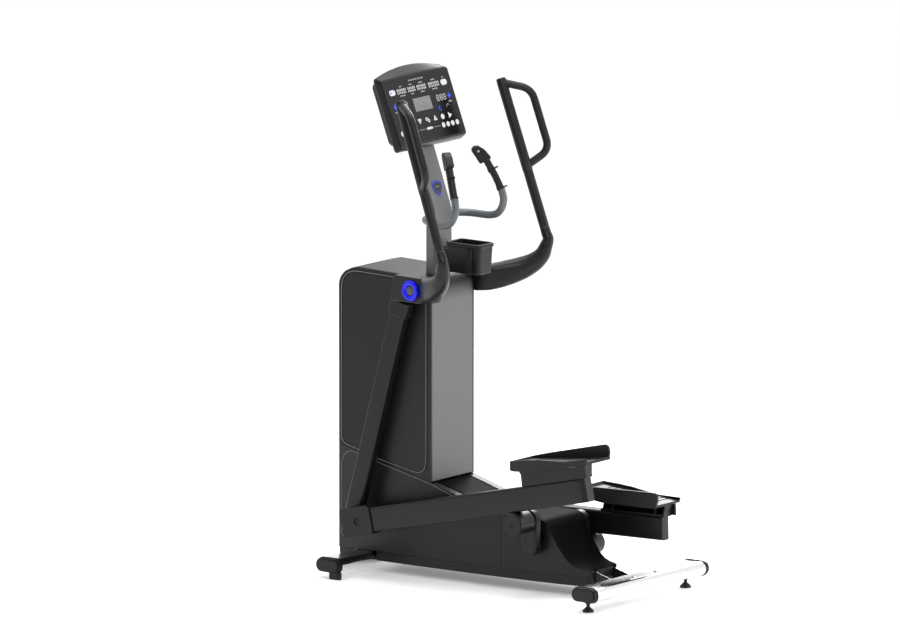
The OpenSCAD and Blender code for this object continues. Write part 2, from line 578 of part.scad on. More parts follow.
module roller(side, a) color(gloss) tilt(a) sided(side) {
  // the roller sits a fixed way along the beam, just touching its strip
  difference() {
    union() {
      cx(-234, -160, -644, -79.6, roller_r);
      cx(-238, -234, -644, -79.6, roller_r - 3);
    }
    cx(-239, -236, -644, -79.6, 10);
  }
}
module left_roller() roller(-1, left_tilt);
module right_roller() roller(1, right_tilt);
// Pedal points are given where the left pedal stands at rest, then carried back to the level arm
module pedal(side, a) color(gloss) tilt(a) sided(side) rotate([left_tilt, 0, 0]) translate([0, -knee_y, -knee_z]) {
  // foot on the beam and outer cover
  yz(-229.5, -222) polygon([[-237, 381.6], [-232, 420], [-222, 433], [-290, 436], [-496, 480], [-506, 441.6]]);
  translate([0, knee_y, knee_z]) rotate([-left_tilt, 0, 0]) difference() {
    box([-222.5, -968, 40.1], [-179, -706, 48]);
    for (k = [0, 1]) translate([-190, -760 - 160 * k, 30]) cylinder(h = 30, r = 4);
  }
  for (y = [-262, -470]) {
    box([-222.5, y - 20, 392.6 - (y + 262) * 0.2228], [-180, y - 14, 441 - (y + 262) * 0.2]);
    box([-222.5, y + 14, 384.8 - (y + 262) * 0.2228], [-180, y + 20, 434 - (y + 262) * 0.2]);
  }
  difference() {
    union() {
      // deck and outer skirt
      yz(-235, -100) polygon([[-193, 450], [-198, 456], [-505, 494], [-508, 488], [-503, 483], [-290, 436], [-205, 429], [-196, 431]]);
      yz(-235, -228) polygon([[-193, 440], [-196, 463], [-250, 472], [-312, 480], [-412, 485], [-505, 503.5], [-509, 499], [-503, 484]]);
      // tall inner rim
      yz(-108, -100) polygon([[-193, 440], [-191, 463], [-260, 481], [-480, 532], [-494, 534], [-503, 528], [-508, 510], [-505, 490]]);
      // front lip
      yz(-235, -100) polygon([[-191, 434], [-191, 463], [-196, 464], [-201, 456], [-201, 431], [-196, 430]]);
    }
    for (k = [0:11]) translate([0, -248 - k * 20, 462 + k * 2.48]) rotate([-7, 0, 0]) box([-222, -4, -1.5], [-114, 4, 6]);
  }
}
module left_pedal() pedal(-1, left_tilt);
module right_pedal() pedal(1, right_tilt);

// ---------- selection ----------
base_frame();
tower_frame();
front_stabilizer();
rear_stabilizer();
stabilizer_caps();
levelling_feet();
rim_pan();
left_lower_cover();
right_lower_cover();
left_rear_shroud();
right_rear_shroud();
top_fairing();
left_side_cover();
right_side_cover();
front_cover();
column_panel();
top_cover();
mast();
mast_badge();
fixed_handlebar();
pulse_grips();
pulse_sensors();
thumb_button_left();
thumb_button_right();
cup_holder();
console_housing();
console_back();
console_panel();
lcd_window();
console_keys();
pivot_axle();
crank_axle();
left_crank_arm();
right_crank_arm();
crank_pulley();
drive_belt();
jackshaft();
flywheel();
brake_unit();
left_swing_arm();
right_swing_arm();
left_handle();
right_handle();
left_grip();
right_grip();
left_pivot_ring();
right_pivot_ring();
left_knee_pin();
right_knee_pin();
left_beam();
right_beam();
left_beam_caps();
right_beam_caps();
left_roller();
right_roller();
left_pedal();
right_pedal();
power_inlet();
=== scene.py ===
import json
import math

import bmesh
import bpy
from mathutils import Matrix, Vector

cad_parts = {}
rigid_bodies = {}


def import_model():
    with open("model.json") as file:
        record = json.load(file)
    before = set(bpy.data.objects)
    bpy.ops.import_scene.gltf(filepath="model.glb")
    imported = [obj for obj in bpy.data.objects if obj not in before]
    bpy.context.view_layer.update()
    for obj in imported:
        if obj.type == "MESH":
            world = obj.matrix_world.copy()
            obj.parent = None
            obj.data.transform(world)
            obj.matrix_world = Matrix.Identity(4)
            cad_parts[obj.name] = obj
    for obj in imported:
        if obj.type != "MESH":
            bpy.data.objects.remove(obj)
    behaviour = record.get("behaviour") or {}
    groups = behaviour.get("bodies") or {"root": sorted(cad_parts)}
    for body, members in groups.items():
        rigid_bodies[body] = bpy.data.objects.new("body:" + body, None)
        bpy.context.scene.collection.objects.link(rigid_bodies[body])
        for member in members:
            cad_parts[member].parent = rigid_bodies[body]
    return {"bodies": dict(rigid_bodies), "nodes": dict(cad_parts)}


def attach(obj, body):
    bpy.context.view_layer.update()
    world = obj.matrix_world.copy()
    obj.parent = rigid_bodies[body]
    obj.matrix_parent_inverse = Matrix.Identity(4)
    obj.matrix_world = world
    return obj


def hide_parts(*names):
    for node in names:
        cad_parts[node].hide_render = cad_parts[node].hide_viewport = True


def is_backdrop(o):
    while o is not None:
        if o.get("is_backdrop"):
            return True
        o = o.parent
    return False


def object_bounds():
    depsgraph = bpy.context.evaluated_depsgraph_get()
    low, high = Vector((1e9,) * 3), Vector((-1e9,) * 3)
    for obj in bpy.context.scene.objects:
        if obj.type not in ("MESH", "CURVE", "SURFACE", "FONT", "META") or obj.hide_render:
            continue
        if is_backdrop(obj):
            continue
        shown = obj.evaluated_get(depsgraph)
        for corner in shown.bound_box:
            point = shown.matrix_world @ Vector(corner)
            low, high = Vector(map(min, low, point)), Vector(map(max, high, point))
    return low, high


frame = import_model()
lo0, hi0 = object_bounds()

# ------------------------------------------------------------------ materials
MATS = {}


def material(name, color, rough=0.5, metal=0.0, coat=0.0, coat_rough=0.2, grain=0.0, grain_scale=600.0, mottle=0.0, spec=0.5, emit=0.0):
    m = bpy.data.materials.new(name)
    m.use_nodes = True
    nt = m.node_tree
    b = nt.nodes["Principled BSDF"]
    b.inputs["Base Color"].default_value = (*color, 1)
    b.inputs["Roughness"].default_value = rough
    b.inputs["Metallic"].default_value = metal
    b.inputs["Specular IOR Level"].default_value = spec
    b.inputs["Coat Weight"].default_value = coat
    b.inputs["Coat Roughness"].default_value = coat_rough
    if emit:
        b.inputs["Emission Color"].default_value = (*color, 1)
        b.inputs["Emission Strength"].default_value = emit
    tc = nt.nodes.new("ShaderNodeTexCoord")
    if grain:
        n = nt.nodes.new("ShaderNodeTexNoise")
        n.inputs["Scale"].default_value = grain_scale
        n.inputs["Detail"].default_value = 3
        bump = nt.nodes.new("ShaderNodeBump")
        bump.inputs["Strength"].default_value = grain
        bump.inputs["Distance"].default_value = 0.0004
        nt.links.new(tc.outputs["Object"], n.inputs["Vector"])
        nt.links.new(n.outputs["Fac"], bump.inputs["Height"])
        nt.links.new(bump.outputs["Normal"], b.inputs["Normal"])
    if mottle:
        n2 = nt.nodes.new("ShaderNodeTexNoise")
        n2.inputs["Scale"].default_value = 6.0
        n2.inputs["Detail"].default_value = 5
        r = nt.nodes.new("ShaderNodeMapRange")
        r.inputs["To Min"].default_value = max(0.02, rough - mottle)
        r.inputs["To Max"].default_value = rough + mottle
        nt.links.new(tc.outputs["Object"], n2.inputs["Vector"])
        nt.links.new(n2.outputs["Fac"], r.inputs["Value"])
        nt.links.new(r.outputs["Result"], b.inputs["Roughness"])
    MATS[name] = m
    return m


material("paint_black", (0.006, 0.006, 0.0065), 0.36, grain=0.10, grain_scale=900, mottle=0.04, spec=0.3)
material("plastic_black", (0.0055, 0.0055, 0.006), 0.38, grain=0.15, grain_scale=1200, mottle=0.04, spec=0.3)
material("plastic_field", (0.005, 0.005, 0.0055), 0.42, grain=0.2, grain_scale=1400, mottle=0.04, spec=0.28)
material("rubber_black", (0.006, 0.006, 0.0065), 0.42, grain=0.2, grain_scale=1500, spec=0.3)
material("gloss_black", (0.004, 0.004, 0.0045), 0.16, spec=0.35)
gp = material("grey_panel", (0.13, 0.13, 0.134), 0.42, metal=0.2, grain=0.06, grain_scale=1500, mottle=0.03)
nt = gp.node_tree
tc = nt.nodes.new("ShaderNodeTexCoord")
sx = nt.nodes.new("ShaderNodeSeparateXYZ")
mr = nt.nodes.new("ShaderNodeMapRange")
mr.inputs["From Min"].default_value = 0.93
mr.inputs["From Max"].default_value = 0.985
mx = nt.nodes.new("ShaderNodeMix")
mx.data_type = "RGBA"
mx.inputs["A"].default_value = (0.13, 0.13, 0.134, 1)
mx.inputs["B"].default_value = (0.008, 0.008, 0.0085, 1)
nt.links.new(tc.outputs["Object"], sx.inputs["Vector"])
nt.links.new(sx.outputs["Z"], mr.inputs["Value"])
nt.links.new(mr.outputs["Result"], mx.inputs["Factor"])
nt.links.new(mx.outputs["Result"], nt.nodes["Principled BSDF"].inputs["Base Color"])
material("grey_paint", (0.13, 0.135, 0.14), 0.4, metal=0.25, mottle=0.04)
material("grey_tube", (0.115, 0.125, 0.133), 0.36, metal=0.3)
material("bright", (0.83, 0.84, 0.86), 0.16, metal=1.0, mottle=0.04)
material("steel", (0.45, 0.45, 0.46), 0.35, metal=1.0)
material("dark_steel", (0.05, 0.05, 0.055), 0.35, metal=0.9)
material("cast", (0.2, 0.2, 0.21), 0.45, metal=1.0, grain=0.2, grain_scale=400)
material("blue", (0.001, 0.001, 0.72), 0.25, spec=0.4)
material("badge_blue", (0.02, 0.03, 0.55), 0.25, coat=0.5)
material("badge_dark", (0.01, 0.01, 0.016), 0.2, coat=0.5)
material("lcd", (0.17, 0.175, 0.175), 0.3)
material("print_white", (0.55, 0.55, 0.56), 0.5)
# painted glow: the blue print also emits a faint light of its own colour
material("print_blue", (0.02, 0.05, 0.6), 0.5, emit=0.1)
material("print_grey", (0.22, 0.22, 0.23), 0.5)
material("lcd_dark", (0.13, 0.135, 0.135), 0.35)
material("key_grey", (0.35, 0.35, 0.36), 0.4)
material("red", (0.25, 0.01, 0.01), 0.3)
material("sensor", (0.72, 0.72, 0.73), 0.25, metal=1.0)
material("belt", (0.01, 0.01, 0.01), 0.6)
material("outline", (0.045, 0.045, 0.048), 0.22, spec=0.6)
# painted highlight: light grey for the thin lines that stand in for the bright rounded edges of the cover fields
material("line_grey", (0.16, 0.16, 0.165), 0.3)
# painted shadow: near black for the rod laid in the cup holder's pinch groove
material("deep_black", (0.0025, 0.0025, 0.0025), 0.6, spec=0.15)
# painted shade: a darker, duller black for upward faces that the white surroundings would otherwise light up; used on
# the top fairing and the shrouds' tops
material("fairing_black", (0.003, 0.003, 0.0035), 0.6, grain=0.15, grain_scale=1200, spec=0.03)

NODE_MAT = {
    "base_frame": "paint_black", "tower_frame": "paint_black", "front_stabilizer": "bright", "rear_stabilizer": "bright",
    "stabilizer_caps": "plastic_black", "levelling_feet": "rubber_black", "rim_pan": "plastic_black", "top_fairing": "fairing_black",
    "column_panel": "grey_panel", "mast": "grey_paint", "fixed_handlebar": "grey_tube", "mast_badge": "badge_blue",
    "pulse_grips": "rubber_black", "pulse_sensors": "sensor", "thumb_button_left": "red", "thumb_button_right": "red",
    "console_panel": "gloss_black", "lcd_window": "lcd", "console_keys": "print_white", "pivot_axle": "steel",
    "crank_axle": "steel", "left_crank_arm": "paint_black", "right_crank_arm": "paint_black", "crank_pulley": "steel",
    "drive_belt": "belt", "jackshaft": "steel", "flywheel": "cast", "brake_unit": "dark_steel",
    "left_swing_arm": "paint_black", "right_swing_arm": "paint_black", "left_handle": "paint_black", "right_handle": "paint_black",
    "left_grip": "rubber_black", "right_grip": "rubber_black", "left_pivot_ring": "blue", "right_pivot_ring": "blue",
    "left_knee_pin": "plastic_field", "right_knee_pin": "plastic_field", "left_beam": "paint_black", "right_beam": "paint_black",
}
NO_BEVEL = {"left_handle", "right_handle", "left_grip", "right_grip", "fixed_handlebar", "pulse_grips", "pulse_sensors", "console_keys", "drive_belt"}

# ------------------------------------------------------------------ helpers
def link(name, mesh, mat):
    o = bpy.data.objects.new(name, mesh)
    bpy.context.scene.collection.objects.link(o)
    if mat:
        o.data.materials.append(MATS[mat])
    return o


def smooth(o, angle=35):
    for p in o.data.polygons:
        p.use_smooth = True
    mesh = o.data
    bm = bmesh.new()
    bm.from_mesh(mesh)
    lim = math.radians(angle)
    for e in bm.edges:
        if len(e.link_faces) == 2 and e.calc_face_angle(0) > lim:
            e.smooth = False
    bm.to_mesh(mesh)
    bm.free()
    return o


def mirror_x(o, name):
    """A mirrored copy across the centre plane."""
    c = o.copy()
    c.data = o.data.copy()
    c.name = name
    bpy.context.scene.collection.objects.link(c)
    bm = bmesh.new()
    bm.from_mesh(c.data)
    bmesh.ops.scale(bm, vec=(-1, 1, 1), verts=bm.verts)
    bmesh.ops.reverse_faces(bm, faces=bm.faces)
    bm.to_mesh(c.data)
    bm.free()
    return c


def sweep(name, path, section, mat, ref=Vector((1, 0, 0)), n=40, caps=True, bevel_ends=0.0):
    """section(i) gives (a, b, squareness)."""
    P = [Vector(p) for p in path]
    m = len(P)
    bm = bmesh.new()
    rings = []
    u_prev = None
    for i in range(m):
        if i == 0:
            t = (P[1] - P[0]).normalized()
        elif i == m - 1:
            t = (P[-1] - P[-2]).normalized()
        else:
            t = ((P[i + 1] - P[i]).normalized() + (P[i] - P[i - 1]).normalized()).normalized()
        if u_prev is None:
            u = ref.cross(t).normalized()
        else:
            u = (u_prev - t * u_prev.dot(t)).normalized()
        if section.__code__.co_argcount == 1:
            a, b, e = section(i)
        v = t.cross(u)
        u_prev = u
        ring = []
        for j in range(n):
            w = 2 * math.pi * j / n
            c, s = math.cos(w), math.sin(w)
            cc = math.copysign(abs(c) ** e, c)
            ss = math.copysign(abs(s) ** e, s)
            ring.append(bm.verts.new(P[i] + u * a * cc + v * b * ss))
        rings.append(ring)
    for i in range(m - 1):
        for j in range(n):
            bm.faces.new((rings[i][j], rings[i][(j + 1) % n], rings[i + 1][(j + 1) % n], rings[i + 1][j]))
    if caps:
        bm.faces.new(list(reversed(rings[0])))
        bm.faces.new(rings[-1])
    bmesh.ops.recalc_face_normals(bm, faces=bm.faces)
    me = bpy.data.meshes.new(name)
    bm.to_mesh(me)
    bm.free()
    return smooth(link(name, me, mat), 50)


def catmull(pts, n):
    P = [Vector(p) for p in pts]
    out = []
    for i in range(len(P) - 1):
        a, b, c, d = P[max(i - 1, 0)], P[i], P[i + 1], P[min(i + 2, len(P) - 1)]
        for k in range(n):
            t = k / n
            out.append(0.5 * ((2 * b) + (c - a) * t + (2 * a - 5 * b + 4 * c - d) * t * t + (3 * b - a - 3 * c + d) * t ** 3))
    out.append(P[-1])
    return out


def rounded(pts, r, n=10):
    P = [Vector(p) for p in pts]
    out = [P[0]]
    for i in range(1, len(P) - 1):
        a = P[i] + (P[i - 1] - P[i]).normalized() * r
        b = P[i] + (P[i + 1] - P[i]).normalized() * r
        for k in range(n + 1):
            t = k / n
            out.append((a * (1 - t) + P[i] * t) * (1 - t) + (P[i] * (1 - t) + b * t) * t)
    out.append(P[-1])
    return out


def rpoly(pts, r, n=6):
    """Closed 2D polygon with its corners rounded by r (a number, or one per corner)."""
    out = []
    m = len(pts)
    for i in range(m):
        p = Vector(pts[i])
        a0 = Vector(pts[i - 1])
        b0 = Vector(pts[(i + 1) % m])
        rr = r[i] if isinstance(r, (list, tuple)) else r
        if rr <= 0:
            out.append(p)
            continue
        da, db = (a0 - p), (b0 - p)
        ang = da.angle(db)
        d = min(rr / math.tan(ang / 2), da.length * 0.49, db.length * 0.49)
        if math.pi - ang < math.radians(4):
            out.append(p)
            continue
        a = p + da.normalized() * d
        b = p + db.normalized() * d
        for k in range(n + 1):
            t = k / n
            out.append((a * (1 - t) + p * t) * (1 - t) + (p * (1 - t) + b * t) * t)
    return out


def prism(name, pts2, lo, hi, mat, plane="YZ", bevel=0.001, seg=3, angle=30):
    """Extrudes a closed outline. plane YZ extrudes along X, XY along Z, XZ along Y."""
    bm = bmesh.new()

    def at(p, h):
        if plane == "YZ":
            return (h, p[0], p[1])
        if plane == "XY":
            return (p[0], p[1], h)
        return (p[0], h, p[1])

    a = [bm.verts.new(at(p, lo)) for p in pts2]
    b = [bm.verts.new(at(p, hi)) for p in pts2]
    m = len(pts2)
    fa = bm.faces.new(a)
    fb = bm.faces.new(list(reversed(b)))
    for i in range(m):
        bm.faces.new((a[(i + 1) % m], a[i], b[i], b[(i + 1) % m]))
    bmesh.ops.recalc_face_normals(bm, faces=bm.faces)
    me = bpy.data.meshes.new(name)
    bm.to_mesh(me)
    bm.free()
    o = link(name, me, mat)
    if bevel:
        bvl = o.modifiers.new("Bevel", "BEVEL")
        bvl.width = bevel
        bvl.segments = seg
        bvl.limit_method = "ANGLE"
        bvl.angle_limit = math.radians(angle)
    return smooth(o, angle)


def lathe(name, prof, centre, axis, mat, n=64):
    """prof is [(distance along axis, radius)...]; axis a unit vector."""
    ax = Vector(axis).normalized()
    u = ax.orthogonal().normalized()
    v = ax.cross(u)
    c = Vector(centre)
    bm = bmesh.new()
    rings = []
    for d, r in prof:
        if r < 1e-6:
            rings.append([bm.verts.new(c + ax * d)])
        else:
            rings.append([bm.verts.new(c + ax * d + (u * math.cos(2 * math.pi * j / n) + v * math.sin(2 * math.pi * j / n)) * r) for j in range(n)])
    for a, b in zip(rings, rings[1:]):
        if len(a) == 1 and len(b) == 1:
            continue
        for j in range(n):
            k = (j + 1) % n
            if len(a) == 1:
                bm.faces.new((a[0], b[k], b[j]))
            elif len(b) == 1:
                bm.faces.new((a[j], a[k], b[0]))
            else:
                bm.faces.new((a[j], a[k], b[k], b[j]))
    bmesh.ops.recalc_face_normals(bm, faces=bm.faces)
    me = bpy.data.meshes.new(name)
    bm.to_mesh(me)
    bm.free()
    return smooth(link(name, me, mat), 30)


def place(o, mat4):
    o.data.transform(mat4)
    return o


def shown(node, mat=None, bevel=0.0012, seg=2, angle=33, name=None):
    """A welded, smoothed and bevelled copy of a CAD node's own mesh."""
    src = frame["nodes"][node]
    me = src.data.copy()
    me.materials.clear()
    bm = bmesh.new()
    bm.from_mesh(me)
    bmesh.ops.remove_doubles(bm, verts=bm.verts, dist=2e-6)
    bmesh.ops.dissolve_limit(bm, angle_limit=math.radians(0.8), verts=bm.verts, edges=bm.edges)
    for f in bm.faces:
        f.smooth = True
    lim = math.radians(angle)
    for e in bm.edges:
        e.smooth = not (len(e.link_faces) != 2 or e.calc_face_angle(0) > lim)
    bm.to_mesh(me)
    bm.free()
    for a in [a.name for a in me.attributes if a.name.startswith("custom_normal")]:
        me.attributes.remove(me.attributes[a])
    o = link(name or node + "_shown", me, mat or NODE_MAT.get(node, "plastic_black"))
    if bevel:
        bv = o.modifiers.new("Bevel", "BEVEL")
        bv.width = bevel
        bv.segments = seg
        bv.limit_method = "ANGLE"
        bv.angle_limit = math.radians(angle)
        bv.use_clamp_overlap = True
    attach(o, BODY_OF[node])
    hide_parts(node)
    return o


BODY_OF = {}
for b, empty in frame["bodies"].items():
    for c in empty.children:
        if c.type == "MESH":
            for n, q in frame["nodes"].items():
                if q is c:
                    BODY_OF[n] = b


# ------------------------------------------------------------------ camera, floor, light
back = Vector((-0.7891, -0.5882, 0.1771))
D = 90.0
cam = bpy.data.cameras.new("cam")
cam.lens = 12 * D
cam.sensor_width = 36
cam.clip_start = 1.0
cam.clip_end = 400
camo = bpy.data.objects.new("cam", cam)
bpy.context.scene.collection.objects.link(camo)
camo.location = Vector((0, 0.2314, 0.8684)) + back.normalized() * D
camo.rotation_euler = (-back).to_track_quat("-Z", "Y").to_euler()
bpy.context.scene.camera = camo

me = bpy.data.meshes.new("floor")
bm = bmesh.new()
vs = [bm.verts.new(p) for p in ((-60, -60, -0.0005), (60, -60, -0.0005), (60, 60, -0.0005), (-60, 60, -0.0005))]
bm.faces.new(vs)
bm.to_mesh(me)
bm.free()
material("floor", (0.93, 0.93, 0.93), 0.9, emit=0.22)
floor = link("floor", me, "floor")
floor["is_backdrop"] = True

world = bpy.data.worlds.new("w")
bpy.context.scene.world = world
world.use_nodes = True
nt = world.node_tree
bg = nt.nodes["Background"]
bg.inputs["Color"].default_value = (1, 1, 1, 1)
tc = nt.nodes.new("ShaderNodeTexCoord")
dot = nt.nodes.new("ShaderNodeVectorMath")
dot.operation = "DOT_PRODUCT"
dot.inputs[1].default_value = (0.62, 0.46, 0.63)
mr = nt.nodes.new("ShaderNodeMapRange")
mr.inputs["From Min"].default_value = -0.35
mr.inputs["From Max"].default_value = 0.45
mr.inputs["To Min"].default_value = 0.25
mr.inputs["To Max"].default_value = 1.0
nt.links.new(tc.outputs["Generated"], dot.inputs[0])
nt.links.new(dot.outputs["Value"], mr.inputs["Value"])
nt.links.new(mr.outputs["Result"], bg.inputs["Strength"])
bpy.context.scene.view_settings.view_transform = "Standard"


def area(name, loc, target, size, power, col=(1, 1, 1)):
    l = bpy.data.lights.new(name, "AREA")
    l.energy = power
    l.size = size
    l.color = col
    o = bpy.data.objects.new(name, l)
    bpy.context.scene.collection.objects.link(o)
    o.location = loc
    o.rotation_euler = (Vector(target) - Vector(loc)).to_track_quat("-Z", "Y").to_euler()
    o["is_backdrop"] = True
    return o


area("key", (-3.5, -3.5, 4.5), (0, 0, 0.8), 2.5, 120)
area("side", (2.6, -4.2, 1.6), (0, 0, 0.7), 2.4, 70)
area("top", (0.5, 0.3, 5.0), (0, 0, 0.5), 3.0, 140)
area("rim", (4.0, 1.5, 2.5), (0, 0, 0.9), 2.0, 110)

# ------------------------------------------------------------------ swing arms
def main_at(z):
    return Vector((-0.293 + (z - 1.145) * 0.0242, 0.054 + (z - 1.145) * 0.3556, z))


def both(make, name, node, body, slot_name=None):
    """Builds the left piece, mirrors it to the right, and lets each stand for its CAD node."""
    o = make("left_" + name)
    r = mirror_x(o, "right_" + name)
    for side, q in (("left", o), ("right", r)):
        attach(q, side + "_" + body)
        if node:
            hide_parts(side + "_" + node)
    return o, r


def frame_yz(y, z, deg):
    """Local Z along the lower tube, origin at (y, z) in the side view."""
    return Matrix.Translation((0, y, z)) @ Matrix.Rotation(math.radians(deg), 4, "X")


LEAN = math.degrees(math.atan2(0.183, 0.680))


def rrect_pts(w, h, r, n=8):
    out = []
    for cx, cy, a0 in ((w / 2 - r, h / 2 - r, 0), (-w / 2 + r, h / 2 - r, 90), (-w / 2 + r, -h / 2 + r, 180), (w / 2 - r, -h / 2 + r, 270)):
        for k in range(n + 1):
            a = math.radians(a0 + 90 * k / n)
            out.append((cx + r * math.cos(a), cy + r * math.sin(a)))
    return out


def lower_tube(name):
    o = prism(name, rrect_pts(0.038, 0.062, 0.009), -0.707, 0.016, "paint_black", "XY", bevel=0.0008)
    return place(o, Matrix.Translation((-0.156, 0, 0)) @ frame_yz(0.329, 0.880, LEAN))


def sleeve(name):
    o = prism(name, rrect_pts(0.046, 0.075, 0.011), 0.008, 0.062, "paint_black", "XY", bevel=0.0025)
    return place(o, Matrix.Translation((-0.156, 0, 0)) @ frame_yz(0.329, 0.880, LEAN))


def foot_ear(name):
    pts = [(0.444 + 0.028 * math.cos(math.radians(a)), 0.187 + 0.028 * math.sin(math.radians(a))) for a in range(70, 271, 10)]
    pts += [(0.512, 0.172), (0.520, 0.196), (0.500, 0.240)]
    return prism(name, pts, -0.172, -0.140, "paint_black", "YZ", bevel=0.002)


both(lower_tube, "lower_tube", "swing_arm", "swing", "satin_black_paint")
both(sleeve, "hub_sleeve", None, "swing", "satin_black_paint")
both(foot_ear, "foot_ear", None, "swing", "satin_black_paint")

CAST = [(-0.1595, 0.240, 0.986), (-0.1600, 0.212, 0.986), (-0.1680, 0.192, 0.9875), (-0.1880, 0.170, 0.992), (-0.2150, 0.144, 1.001), (-0.2420, 0.113, 1.014), (-0.2640, 0.080, 1.034), (-0.2790, 0.057, 1.059), (-0.2870, 0.0475, 1.086), tuple(main_at(1.112)), tuple(main_at(1.132)), tuple(main_at(1.1500))]
CAST_V = [0.0430, 0.0432, 0.0430, 0.0420, 0.0410, 0.0380, 0.0325, 0.0270, 0.0225, 0.0185, 0.0170, 0.0165]
CAST_H = [0.0333, 0.0352, 0.0358, 0.0355, 0.0350, 0.0335, 0.0310, 0.0265, 0.0222, 0.0185, 0.0170, 0.0165]
CAST_E = [0.25, 0.28, 0.36, 0.48, 0.60, 0.75, 0.88, 1.0, 1.0, 1.0, 1.0, 1.0]


def casting(name):
    path = catmull(CAST, 6)
    m = len(path) - 1

    def at(v, i):
        t = i / m * (len(v) - 1)
        k = min(int(t), len(v) - 2)
        f = t - k
        f = f * f * (3 - 2 * f) * 0.35 + f * 0.65
        return v[k] + (v[k + 1] - v[k]) * f

    return sweep(name, path, lambda i: (at(CAST_V, i), at(CAST_H, i), at(CAST_E, i)), "paint_black", n=72)


def hub_block(name):
    pts = rpoly([(0.207, 0.943), (0.300, 0.9415), (0.345, 0.939), (0.329, 1.0285), (0.207, 1.029)], [0.0, 0.0, 0.007, 0.009, 0.0], 5)
    o = prism(name, pts, -0.1928, -0.1262, "paint_black", "YZ", bevel=0.0085, seg=5, angle=50)
    for v in o.data.vertices:
        v.co.x += (v.co.x + 0.1262) / -0.0666 * (v.co.y - 0.250) * 0.11
    return o


HUB_P, HUB_N = (-0.1928, 0.250, 0.985), (-0.994, 0.109, 0)


both(hub_block, "hub_block", None, "swing", "satin_black_paint")
both(casting, "hub_casting", "handle", "swing", "satin_black_paint")


def handle_tube(name):
    zs = [1.1480, 1.1490, 1.20, 1.30, 1.3372, 1.3376, 1.3384, 1.40, 1.50, 1.60, 1.628, 1.6345, 1.6388, 1.640]
    rs = [0.0158, 0.0163, 0.0163, 0.0163, 0.0163, 0.0163, 0.0173, 0.0173, 0.0173, 0.0173, 0.0173, 0.0170, 0.0152, 0.0125]
    return sweep(name, [main_at(z) for z in zs], lambda i: (rs[i], rs[i], 1.0), "rubber_black", n=40)


both(handle_tube, "handle_tube", "grip", "swing", "grip_rubber")

OFF = Vector((-0.056, -0.073, 0))


def handle_loop(name):
    p = rounded([main_at(1.626), main_at(1.605) + OFF, main_at(1.405) + OFF, main_at(1.352)], 0.036, 10)
    return sweep(name, p, lambda i: (0.0132, 0.0132, 1.0), "rubber_black", ref=Vector((1, -0.77, 0.3)), n=32)


both(handle_loop, "handle_loop", None, "swing", "grip_rubber")


def seam_ring(name):
    return sweep(name, [main_at(1.1494), main_at(1.1497), main_at(1.1503), main_at(1.1506)], lambda i: ((0.0164, 0.0167, 0.0167, 0.0164)[i],) * 2 + (1.0,), "outline", n=40)


both(seam_ring, "casting_seam", None, "swing", "satin_black_paint")


def blue_ring(name):
    prof = [(-0.002, 0.0165), (-0.002, 0.0345), (0.0045, 0.0350), (0.0075, 0.0343), (0.0100, 0.0318), (0.0110, 0.0275), (0.0103, 0.0225), (0.0075, 0.0185), (0.0045, 0.0168), (-0.002, 0.0165)]
    return lathe(name, prof, HUB_P, HUB_N, "blue", n=96)


both(blue_ring, "hub_ring", "pivot_ring", "swing", "ring_blue")


def hub_cap(name):
    prof = [(-0.003, 0.0), (-0.003, 0.0168), (0.0040, 0.0166), (0.0062, 0.0145), (0.0070, 0.0100), (0.0073, 0.0)]
    return lathe(name, prof, HUB_P, HUB_N, "outline", n=64)


both(hub_cap, "hub_cap", None, "swing")


def hub_boss(name):
    prof = [(0.1232, 0.0), (0.1232, 0.0300), (0.1300, 0.0300), (0.1300, 0.0)]
    return lathe(name, prof, (0, 0.250, 0.985), (-1, 0, 0), "paint_black", n=64)


both(hub_boss, "hub_boss", None, "swing", "satin_black_paint")


# ------------------------------------------------------------------ console
TILT = math.radians(21)
E_UP = Vector((0, math.sin(TILT), math.cos(TILT)))
E_OUT = Vector((0, -math.cos(TILT), math.sin(TILT)))
C0 = Vector((0, 0.2975, 1.463))


def on_face(x, y, n):
    return C0 + Vector((x, 0, 0)) + E_UP * y + E_OUT * n


def face_outline(w, y0, y1, arch, r, flare=0.0):
    """Outline of the console seen square on: half width w at the top, w - flare at the bottom."""
    pts = []
    wb = w - flare
    nb, nc, nt, ns = 10, 8, 28, 8
    for k in range(nb):
        pts.append((-(wb - r) + 2 * (wb - r) * k / nb, y0))
    for k in range(nc):
        a = -math.pi / 2 + math.pi / 2 * k / nc
        pts.append((wb - r + r * math.cos(a), y0 + r + r * math.sin(a)))
    for k in range(ns):
        t = k / ns
        pts.append((wb + (w - wb) * t, y0 + r + (y1 - 2 * r - y0) * t))
    for k in range(nc):
        a = math.pi / 2 * k / nc
        pts.append((w - r + r * math.cos(a), y1 - r + r * math.sin(a)))
    for k in range(nt):
        x = (w - r) * (1 - 2 * k / nt)
        pts.append((x, y1 + arch * (1 - (x / (w - r)) ** 2)))
    for k in range(nc):
        a = math.pi / 2 + math.pi / 2 * k / nc
        pts.append((-(w - r) + r * math.cos(a), y1 - r + r * math.sin(a)))
    for k in range(ns):
        t = k / ns
        pts.append((-(w + (wb - w) * t), y1 - r + (y0 + 2 * r - y1) * t))
    for k in range(nc):
        a = math.pi + math.pi / 2 * k / nc
        pts.append((-(wb - r) + r * math.cos(a), y0 + r + r * math.sin(a)))
    return pts


def loft(name, rings, mat, angle=40):
    """rings: list of (outline, n) in console coordinates, back to front."""
    bm = bmesh.new()
    R = [[bm.verts.new(on_face(x, y, n)) for x, y in o] for o, n in rings]
    for a, b in zip(R, R[1:]):
        m = len(a)
        for j in range(m):
            bm.faces.new((a[j], a[(j + 1) % m], b[(j + 1) % m], b[j]))
    bm.faces.new(list(reversed(R[0])))
    bm.faces.new(R[-1])
    bmesh.ops.recalc_face_normals(bm, faces=bm.faces)
    me = bpy.data.meshes.new(name)
    bm.to_mesh(me)
    bm.free()
    return smooth(link(name, me, mat), angle)


